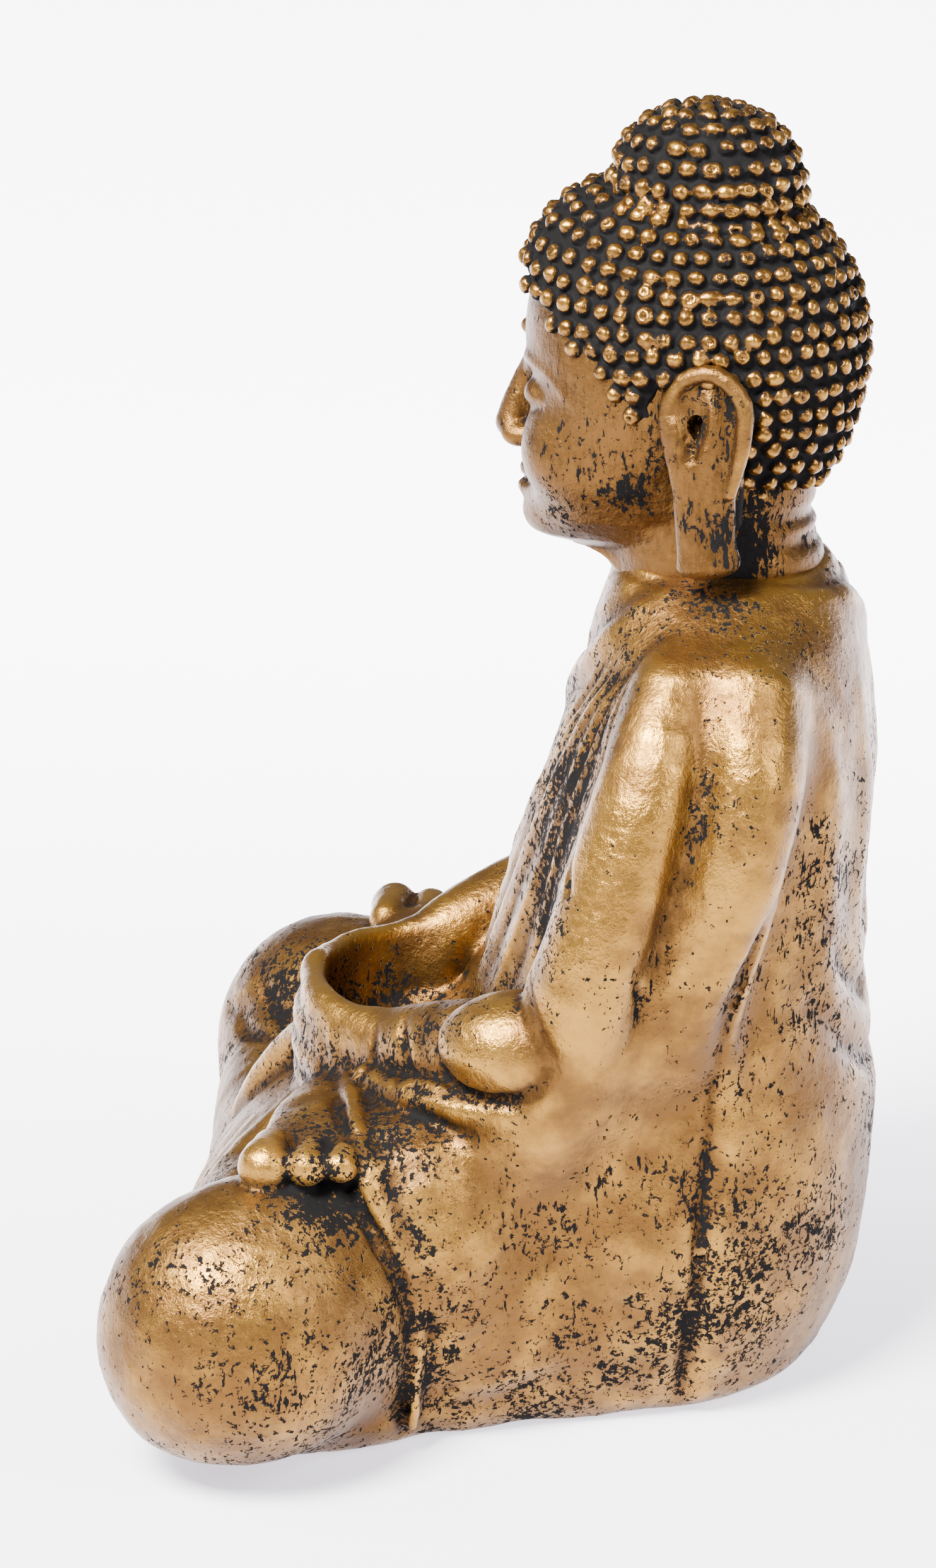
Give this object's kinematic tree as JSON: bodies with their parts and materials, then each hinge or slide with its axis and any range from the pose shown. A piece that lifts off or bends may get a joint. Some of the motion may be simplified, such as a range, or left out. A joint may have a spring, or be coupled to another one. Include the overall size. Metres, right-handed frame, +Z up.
{
  "type": "seated figure garden ornament",
  "caption": "Cast garden ornament: a robed figure seated cross-legged, its cupped hands holding a bowl-shaped hollow for a tea light.",
  "frame": {"origin": "on the ground under the middle of the figure's bounding box", "axes": "+Z up, the figure faces -Y, its left side is +X"},
  "size_m": [0.374, 0.2862, 0.5],
  "materials": {
    "gilt_cast_stone": "antique gold paint dry-brushed over charcoal black, satin to semi-gloss on cast stone"
  },
  "bodies": {
    "root": {"seated_figure": "gilt_cast_stone"}
  },
  "joints": []
}
